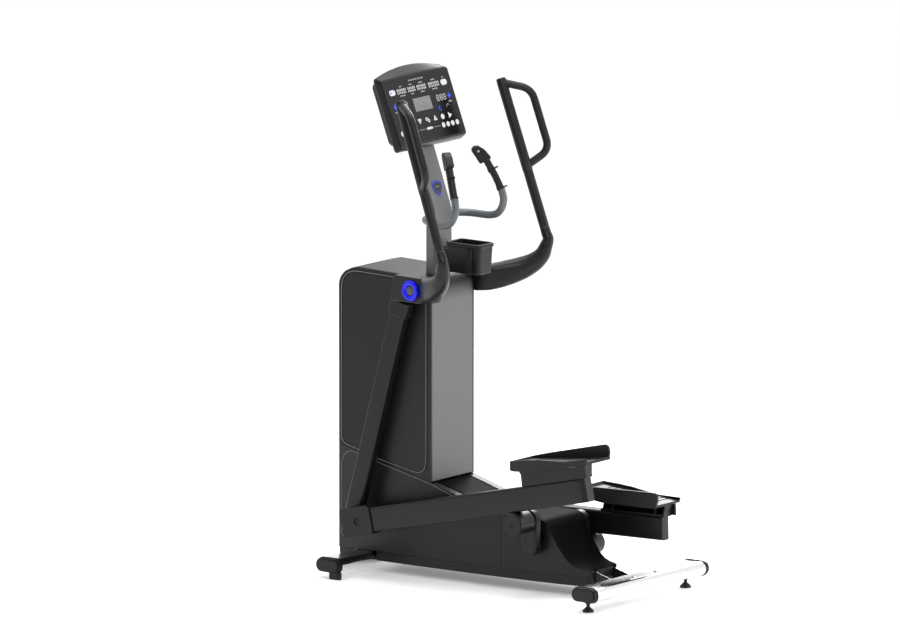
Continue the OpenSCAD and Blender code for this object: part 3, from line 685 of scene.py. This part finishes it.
con = loft("console_body", [
    (face_outline(0.1810, -0.0100, 0.2420, 0.0215, 0.010), -0.0345),
    (face_outline(0.1835, -0.0135, 0.2448, 0.0225, 0.011), -0.0315),
    (face_outline(0.1840, -0.0140, 0.2450, 0.0225, 0.011), -0.0250),
    (face_outline(0.1838, -0.0060, 0.2340, 0.0050, 0.010), -0.0050),
    (face_outline(0.1828, -0.0030, 0.2310, 0.0030, 0.009), -0.0020),
    (face_outline(0.1812, -0.0003, 0.2285, 0.0020, 0.008), -0.0006),
    (face_outline(0.1796, 0.0020, 0.2265, 0.0015, 0.007), -0.0006),
], "plastic_black")
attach(con, "frame")
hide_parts("console_housing")
cb = loft("console_rear", [
    (face_outline(0.160, 0.020, 0.226, 0.014, 0.016), -0.0610),
    (face_outline(0.165, 0.015, 0.231, 0.016, 0.018), -0.0590),
    (face_outline(0.174, 0.004, 0.238, 0.020, 0.018), -0.0345),
    (face_outline(0.174, 0.004, 0.238, 0.020, 0.018), -0.0342),
], "plastic_black")
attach(cb, "frame")
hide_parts("console_back")
cf = loft("console_face", [
    (face_outline(0.1792, 0.0024, 0.2261, 0.0015, 0.0068), -0.003),
    (face_outline(0.1792, 0.0024, 0.2261, 0.0015, 0.0068), -0.0002),
    (face_outline(0.1788, 0.0028, 0.2257, 0.0015, 0.0064), 0.0002),
], "gloss_black")
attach(cf, "frame")
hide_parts("console_panel")


def marks(name, mat, shapes, n0=0.0003, n1=0.0009):
    """Each shape is a closed outline in console coordinates (x, y), in metres."""
    bm = bmesh.new()
    for sh in shapes:
        a = [bm.verts.new(on_face(x, y, n0)) for x, y in sh]
        b = [bm.verts.new(on_face(x, y, n1)) for x, y in sh]
        m = len(sh)
        bm.faces.new(b)
        bm.faces.new(list(reversed(a)))
        for j in range(m):
            bm.faces.new((a[j], a[(j + 1) % m], b[(j + 1) % m], b[j]))
    bmesh.ops.recalc_face_normals(bm, faces=bm.faces)
    me = bpy.data.meshes.new(name)
    bm.to_mesh(me)
    bm.free()
    o = link(name, me, mat)
    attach(o, "frame")
    return o


def rect(cx, cy, w, h):
    return [(cx - w / 2, cy - h / 2), (cx + w / 2, cy - h / 2), (cx + w / 2, cy + h / 2), (cx - w / 2, cy + h / 2)]


def disc(cx, cy, rx, ry=None, n=28):
    ry = ry or rx
    return [(cx + rx * math.cos(2 * math.pi * k / n), cy + ry * math.sin(2 * math.pi * k / n)) for k in range(n)]


def pill(cx, cy, w, h, n=10):
    r = h / 2
    out = []
    for k in range(n + 1):
        a = -math.pi / 2 + math.pi * k / n
        out.append((cx + w / 2 - r + r * math.cos(a), cy + r * math.sin(a)))
    for k in range(n + 1):
        a = math.pi / 2 + math.pi * k / n
        out.append((cx - w / 2 + r + r * math.cos(a), cy + r * math.sin(a)))
    return out


def ring_quads(cx, cy, r0, r1, n=28, a0=0.0, a1=360.0):
    out = []
    for k in range(n):
        b0 = math.radians(a0 + (a1 - a0) * k / n)
        b1 = math.radians(a0 + (a1 - a0) * (k + 1) / n)
        out.append([(cx + r0 * math.cos(b0), cy + r0 * math.sin(b0)), (cx + r1 * math.cos(b0), cy + r1 * math.sin(b0)), (cx + r1 * math.cos(b1), cy + r1 * math.sin(b1)), (cx + r0 * math.cos(b1), cy + r0 * math.sin(b1))])
    return out


white, bl, gy = [], [], []
# four groups of narrow level bars, each between two small labels
for cx, cnt, w_up, w_lo in ((-0.0950, 6, 0.013, 0.030), (-0.0400, 5, 0.015, 0.014), (0.0153, 6, 0.022, 0.023), (0.0832, 7, 0.022, 0.029)):
    for k in range(cnt):
        x = cx + (k - (cnt - 1) / 2) * 0.0086
        white += [rect(x, 0.1862, 0.0038, 0.0085), rect(x, 0.1768, 0.0038, 0.0060)]
    gy += [rect(cx, 0.1982, w_up, 0.0042), rect(cx, 0.1664, w_lo, 0.0042)]
white += [pill(-0.1459, 0.1824, 0.033, 0.0195), pill(0.1393, 0.1815, 0.033, 0.0195)]
bl += [disc(-0.1540, 0.1824, 0.0032)]
gy += [rect(0.1385, 0.1985, 0.0095, 0.0042)]
# unlit digit cells on both sides of the screen
for cx in (-0.1085, 0.1026):
    for k in (-1, 0, 1):
        x = cx + k * 0.0186
        for dy in (-0.0095, 0, 0.0095):
            white.append(rect(x, 0.1336 + dy, 0.0085, 0.0020))
        for dx in (-0.0055, 0.0055):
            for dy in (-0.0048, 0.0048):
                white.append(rect(x + dx, 0.1336 + dy, 0.0020, 0.0068))
for s_ in (-1, 1):
    cx, cy = s_ * 0.149 - 0.003, 0.1338
    bl.append([(cx + (0.0125 if k % 2 == 0 else 0.0055) * math.cos(math.radians(45 * k)), cy + (0.0125 if k % 2 == 0 else 0.0055) * math.sin(math.radians(45 * k))) for k in range(8)])
    gy.append(rect(s_ * 0.1477 - 0.003, 0.1150, 0.0165, 0.0055))
    bl += ring_quads(s_ * 0.0839 - 0.003, 0.0985, 0.0052, 0.0082, a0=60, a1=330)
    gy += ring_quads(s_ * 0.1283 - 0.003, 0.1005, 0.0055, 0.0080, a0=20, a1=200)
    white += [disc(s_ * (0.0753 + 0.0254 * k) - 0.003, 0.0414, 0.0088) for k in range(4)]
    white += [disc(s_ * 0.0838 - 0.003, 0.0695, 0.0092)]
    px = s_ * 0.1240 - 0.003
    white.append([(px - 0.0075, 0.0590), (px + 0.0105, 0.0695), (px - 0.0075, 0.0800)])
# small pictograms under the screen
hx, hy = -0.0456, 0.0708
white += [disc(hx - 0.0042, hy + 0.003, 0.0049), disc(hx + 0.0042, hy + 0.003, 0.0049), [(hx - 0.0088, hy + 0.0012), (hx, hy - 0.0098), (hx + 0.0088, hy + 0.0012)]]
white += ring_quads(-0.0072, 0.0727, 0.0030, 0.0062) + ring_quads(0.0024, 0.0667, 0.0030, 0.0062)
white += [[(0.0300, 0.0625), (0.0340, 0.0620), (0.0398, 0.0735), (0.0455, 0.0620), (0.0495, 0.0625), (0.0412, 0.0790), (0.0384, 0.0790)], disc(0.0398, 0.0655, 0.0032)]
gy += [rect(-0.0440, 0.0408, 0.035, 0.0018), rect(0.0375, 0.0412, 0.0355, 0.0018)]
white += [pill(-0.0039, 0.0410, 0.033, 0.0080)]
# generic bars where a name would stand
gy += [rect(-0.004 + 0.012 * k, 0.2120, 0.0085, 0.0052) for k in range(-3, 4)]
w_ = marks("console_marks_white", "print_white", white)
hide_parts("console_keys")
# the blue marks carry a painted glow from their material
marks("console_marks_blue", "print_blue", bl, 0.0003, 0.0011)
marks("console_marks_grey", "print_grey", gy)
lcd = marks("console_screen", "lcd", [rect(-0.0028, 0.1263, 0.0935, 0.0448)], -0.0001, 0.0007)
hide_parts("lcd_window")
# faint cells on the screen
marks("console_screen_cells", "lcd_dark", [rect(-0.0380 + 0.0098 * k, 0.1075 + 0.0034 * j + 0.002, 0.0062, 0.0022) for k in range(8) for j in range(2 + (k * 5) % 7)], 0.0007, 0.0008)

# ------------------------------------------------------------------ fixed handlebar
BAR = [(0, 0.276, 1.208), (0.03, 0.276, 1.208), (0.055, 0.276, 1.208), (0.076, 0.273, 1.208), (0.098, 0.259, 1.208), (0.116, 0.232, 1.207), (0.126, 0.200, 1.205), (0.131, 0.165, 1.2045), (0.134, 0.136, 1.212), (0.135, 0.117, 1.233), (0.134, 0.1085, 1.262), (0.1315, 0.112, 1.285), (0.130, 0.1165, 1.300)]
path = catmull([(-x, y, z) for x, y, z in reversed(BAR[1:])] + BAR, 6)
bar = sweep("handlebar_tube", path, lambda i: (0.0127, 0.0127, 1.0), "grey_tube", ref=Vector((0.0001, 0.55, 0.83)), n=40)
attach(bar, "frame")
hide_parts("fixed_handlebar")

GP = catmull([(0.1300, 0.1165, 1.296), (0.120, 0.134, 1.340), (0.107, 0.153, 1.382), (0.095, 0.168, 1.414)], 8)


def pulse(name):
    return sweep(name, GP, lambda i: (0.0128, 0.0128, 1.0), "rubber_black", n=36)


HT = Vector((-0.285, 0.405, 0.87)).normalized()
HC = Vector((0.0890, 0.1755, 1.4150))


def head_axes():
    """Along the grip, across it in the plane of the pod, and out of the pod's flat face."""
    side = Vector((0.62, -0.785, 0.0))
    side = (side - HT * side.dot(HT)).normalized()
    return HT, side, HT.cross(side).normalized()


def pulse_head(name):
    """The pod on top of each fixed grip."""
    t, side, nrm = head_axes()
    prof = rpoly([(-0.030, -0.0145), (-0.031, 0.0270), (-0.024, 0.0285), (0.008, 0.0225), (0.027, 0.0120), (0.033, -0.0040), (0.027, -0.0185), (0.004, -0.0165)], [0.006, 0.004, 0.006, 0.020, 0.014, 0.012, 0.012, 0.02], 6)
    o = prism(name, prof, -0.0135, 0.0135, "rubber_black", "XY", bevel=0.006, seg=5, angle=40)
    m = Matrix(((t.x, side.x, nrm.x, 0), (t.y, side.y, nrm.y, 0), (t.z, side.z, nrm.z, 0), (0, 0, 0, 1)))
    o.data.transform(Matrix.Translation(HC) @ m)
    return o


def pulse_plate(name):
    """Contact plates on the outer front side of the grip."""
    bm = bmesh.new()
    for lo, hi in ((3, 11), (14, 21)):
        rings = []
        for i in range(lo, hi + 1):
            t = (GP[min(i + 1, len(GP) - 1)] - GP[max(i - 1, 0)]).normalized()
            u = Vector((-0.30, 0.95, 0.0))
            u = (u - t * u.dot(t)).normalized()
            v = t.cross(u)
            ring = []
            for r in (0.0137, 0.0124):
                rng = range(13) if r > 0.013 else range(12, -1, -1)
                for k in rng:
                    w = math.radians(-70 + 140 * k / 12)
                    ring.append(bm.verts.new(GP[i] + (u * math.cos(w) + v * math.sin(w)) * r))
            rings.append(ring)
        n = len(rings[0])
        for a, b in zip(rings, rings[1:]):
            for j in range(n):
                bm.faces.new((a[j], a[(j + 1) % n], b[(j + 1) % n], b[j]))
        bm.faces.new(rings[0])
        bm.faces.new(list(reversed(rings[-1])))
    bmesh.ops.recalc_face_normals(bm, faces=bm.faces)
    me = bpy.data.meshes.new(name)
    bm.to_mesh(me)
    bm.free()
    return smooth(link(name, me, "sensor"), 40)


def pulse_fin(name):
    """Thin finger stops that stand out from the grip."""
    bm = bmesh.new()
    for i in (1, 12):
        t = (GP[i + 1] - GP[i - 1]).normalized()
        u = Vector((0.62, -0.785, 0.0))
        u = (u - t * u.dot(t)).normalized()
        v = t.cross(u)
        lo, hi = [], []
        for k in range(24):
            w = 2 * math.pi * k / 24
            r = 0.0136 + 0.0120 * max(0.0, math.cos(w)) ** 3
            lo.append(bm.verts.new(GP[i] - t * 0.0018 + (u * math.cos(w) + v * math.sin(w)) * r))
            hi.append(bm.verts.new(GP[i] + t * 0.0018 + (u * math.cos(w) + v * math.sin(w)) * r))
        bm.faces.new(list(reversed(lo)))
        bm.faces.new(hi)
        for j in range(24):
            bm.faces.new((lo[j], lo[(j + 1) % 24], hi[(j + 1) % 24], hi[j]))
    bmesh.ops.recalc_face_normals(bm, faces=bm.faces)
    me = bpy.data.meshes.new(name)
    bm.to_mesh(me)
    bm.free()
    return smooth(link(name, me, "rubber_black"), 40)


def fixed_pair(make, name, nodes=(), slot_name=None):
    r = make("right_" + name)
    l = mirror_x(r, "left_" + name)
    for q in (r, l):
        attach(q, "frame")
    for nd in nodes:
        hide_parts(nd)
        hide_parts(nd)


fixed_pair(pulse, "pulse_sleeve", ["pulse_grips"], "grip_rubber")
fixed_pair(pulse_head, "pulse_head", (), "grip_rubber")
fixed_pair(pulse_plate, "pulse_plate", ["pulse_sensors"], "sensor_steel")
fixed_pair(pulse_fin, "pulse_fin", (), "grip_rubber")

for side, sg in (("right", 1), ("left", -1)):
    t, sd, nm = head_axes()
    if nm.dot(Vector((-0.4, -0.9, 0.1))) < 0:
        nm = -nm
    c = HC + t * 0.012 + sd * 0.002 + nm * 0.0133
    ax = Vector((nm.x, nm.y, nm.z))
    if sg < 0:
        c = Vector((-c.x, c.y, c.z))
        ax = Vector((-ax.x, ax.y, ax.z))
    bt = lathe(side + "_thumb_key", [(-0.001, 0.0), (-0.001, 0.0042), (0.0012, 0.0042), (0.0018, 0.0035), (0.0020, 0.0)], c, ax, "key_grey", n=32)
    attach(bt, "thumb_" + side)
    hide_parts("thumb_button_" + side)

# ------------------------------------------------------------------ cup holder
def slot_outline(hw, y0, y1, r, groove=0.0, n=10):
    """Rounded slot in plan; groove pinches both long sides at mid length."""
    pts = rpoly([(-hw, y0), (hw, y0), (hw, y1), (-hw, y1)], r, n)
    ring = [Vector(p) for p in pts] + [Vector(pts[0])]
    ln = [(q - p).length for p, q in zip(ring, ring[1:])]
    tot, dense = sum(ln), []
    for k in range(200):
        d, i = tot * k / 200, 0
        while d > ln[i]:
            d -= ln[i]
            i += 1
        dense.append(ring[i].lerp(ring[i + 1], d / ln[i]))
    ym = y0 + 0.029
    out = []
    for p in dense:
        g = groove * (math.exp(-((p.y - ym) / 0.0038) ** 2) - 0.35 * math.exp(-((p.y - ym - 0.016) / 0.008) ** 2)) if abs(p.x) > hw * 0.9 else 0.0
        out.append((p.x - math.copysign(g, p.x), p.y))
    return out


def stack(name, rings, mat, closed_top=False):
    bm = bmesh.new()
    R = [[bm.verts.new((x, y, z)) for x, y in o] for o, z in rings]
    for a, b in zip(R, R[1:]):
        m = len(a)
        for j in range(m):
            bm.faces.new((a[j], a[(j + 1) % m], b[(j + 1) % m], b[j]))
    bm.faces.new(list(reversed(R[0])))
    bm.faces.new(R[-1])
    bmesh.ops.recalc_face_normals(bm, faces=bm.faces)
    me = bpy.data.meshes.new(name)
    bm.to_mesh(me)
    bm.free()
    return smooth(link(name, me, mat), 40)


def cup_ring(inset, z, groove=0.0):
    return (slot_outline(0.0455 - inset, 0.0755 + inset, 0.221 - inset, 0.0195 - min(inset, 0.02) * 0.6, groove), z)


cup = stack("cup_holder_body", [cup_ring(0.0125, 1.0300), cup_ring(0.0095, 1.0308), cup_ring(0.0080, 1.0335), cup_ring(0.0076, 1.038, 0.008), cup_ring(0.0036, 1.112, 0.008), cup_ring(0.0033, 1.1195), cup_ring(0.0006, 1.1210), cup_ring(-0.0002, 1.1230), cup_ring(-0.0002, 1.1300), cup_ring(0.0010, 1.1322), cup_ring(0.0028, 1.1332), cup_ring(0.0078, 1.1332), cup_ring(0.0092, 1.1322), cup_ring(0.0098, 1.1290), cup_ring(0.0125, 1.0400), cup_ring(0.0180, 1.0362)], "plastic_black")
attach(cup, "frame")
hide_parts("cup_holder")
neck = prism("cup_holder_neck", rpoly([(-0.032, 0.196), (0.032, 0.196), (0.032, 0.2585), (-0.032, 0.2585)], 0.004), 1.050, 1.106, "plastic_black", "XY", bevel=0.002)
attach(neck, "frame")

# ------------------------------------------------------------------ everything else keeps its CAD shape
REPLACED = {"left_swing_arm", "right_swing_arm", "left_handle", "right_handle", "left_grip", "right_grip", "left_pivot_ring", "right_pivot_ring", "console_housing", "console_back", "console_panel", "console_keys", "lcd_window", "fixed_handlebar", "pulse_grips", "pulse_sensors", "thumb_button_left", "thumb_button_right", "cup_holder", "mast_badge"}
BEVELS = {"mast": 0.004, "left_beam": 0.0015, "right_beam": 0.0015, "left_beam_caps": 0.003, "right_beam_caps": 0.003, "left_crank_arm": 0.002, "right_crank_arm": 0.002, "left_roller": 0.0025, "right_roller": 0.0025, "stabilizer_caps": 0.003, "left_side_cover": 0.0018, "right_side_cover": 0.0018, "front_cover": 0.002, "column_panel": 0.0015, "mast_badge": 0.0006, "drive_belt": 0.0, "left_pedal": 0.0016, "right_pedal": 0.0016, "levelling_feet": 0.0015}
CLONES = {}
for node in sorted(frame["nodes"]):
    if node not in REPLACED:
        CLONES[node] = shown(node, bevel=BEVELS.get(node, 0.0011))


def second_finish(node, mat, test):
    """Faces that pass the test take a second material of the same node: a real second finish on the base frame,
    painted shade on the shrouds' upward faces.
    """
    me = CLONES[node].data
    me.materials.append(MATS[mat])
    for p in me.polygons:
        if test(p):
            p.material_index = len(me.materials) - 1


# painted shade: the rear shrouds' upward faces take the darker, duller black
for side in ("left", "right"):
    second_finish(side + "_rear_shroud", "fairing_black", lambda p: abs(p.normal.x) < 0.6 and p.normal.z > 0.15)
second_finish("base_frame", "bright", lambda p: p.center.y < -0.405)

# ------------------------------------------------------------------ badge, a plain shield with one plain bar
B_UP = Vector((0, math.sin(math.radians(20)), math.cos(math.radians(20))))
B_OUT = Vector((0, -math.cos(math.radians(20)), math.sin(math.radians(20))))
HALF = [(0.012, 0.0235), (0.0225, 0.0205), (0.0256, 0.0135), (0.024, 0.002), (0.0165, -0.0125), (0.006, -0.0235)]
SHIELD = [(0.0, 0.0262)] + HALF + [(0.0, -0.0272)] + [(-x, y) for x, y in reversed(HALF)]


def badge_plate(name, outline, n0, n1, mat):
    bm = bmesh.new()
    lo = [bm.verts.new(Vector((x, 0.284, 1.301)) + B_UP * y + B_OUT * n0) for x, y in outline]
    hi = [bm.verts.new(Vector((x, 0.284, 1.301)) + B_UP * y + B_OUT * n1) for x, y in outline]
    bm.faces.new(hi)
    bm.faces.new(list(reversed(lo)))
    for j in range(len(outline)):
        k = (j + 1) % len(outline)
        bm.faces.new((lo[j], lo[k], hi[k], hi[j]))
    bmesh.ops.recalc_face_normals(bm, faces=bm.faces)
    m = bpy.data.meshes.new(name)
    bm.to_mesh(m)
    bm.free()
    o = smooth(link(name, m, mat), 30)
    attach(o, "frame")
    return o


plate = badge_plate("badge_plate", rpoly(SHIELD, 0.004, 3), 0.0, 0.0022, "badge_blue")
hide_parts("mast_badge")
badge_plate("badge_inner", rpoly([(x * 0.82, y * 0.82) for x, y in SHIELD], 0.003, 3), 0.0021, 0.0025, "badge_dark")
badge_plate("badge_bar", [(-0.011, 0.0035), (0.011, 0.0035), (0.011, 0.0065), (-0.011, 0.0065)], 0.0024, 0.0027, "print_grey")

# ------------------------------------------------------------------ cup holder, a painted shadow strip in the pinch groove
# painted shadow: a near-black rod fills the pinch groove where shade falls
def pinch(name):
    o = sweep(name, [(-0.0355, 0.1115, 1.041), (-0.0397, 0.1078, 1.113)], lambda i: (0.0022, 0.0022, 1.0), "deep_black", n=16)
    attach(o, "frame")
    return o


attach(mirror_x(pinch("cup_pinch_left"), "cup_pinch_right"), "frame")


# ------------------------------------------------------------------ covers: painted highlights along the edges of the raised fields and the cover joint
def line_on_side(name, pts, x=0.1224, r=0.0012, mat="line_grey", closed=False):
    p = [Vector((x, y, z)) for y, z in pts]
    if closed:
        p.append(p[0].copy())
    a = sweep("right_" + name, p, lambda i: (r, r, 1.0), mat, ref=Vector((1, 0, 0)), n=8)
    b = mirror_x(a, "left_" + name)
    for q in (a, b):
        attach(q, "frame")


# painted highlight along the upper field's rounded edge
UP = rpoly([(0.592, 0.425), (0.592, 1.0135), (0.2402, 1.0045), (0.2402, 0.348), (0.44, 0.385), (0.5333, 0.4114)], [0.052, 0.070, 0.02, 0.045, 0.2, 0.1], 8)
line_on_side("field_line_up", UP, closed=True)
# painted highlight along the joint between the lower and upper covers
DOWN = rpoly([(0.130, 0.2922), (0.2265, 0.3237), (0.4434, 0.3734), (0.592, 0.4130), (0.592, 0.105), (0.56, 0.105)], [0, 0.1, 0.1, 0.055, 0.03, 0], 8)
line_on_side("field_line_low", DOWN, x=0.1202)

lo1, hi1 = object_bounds()
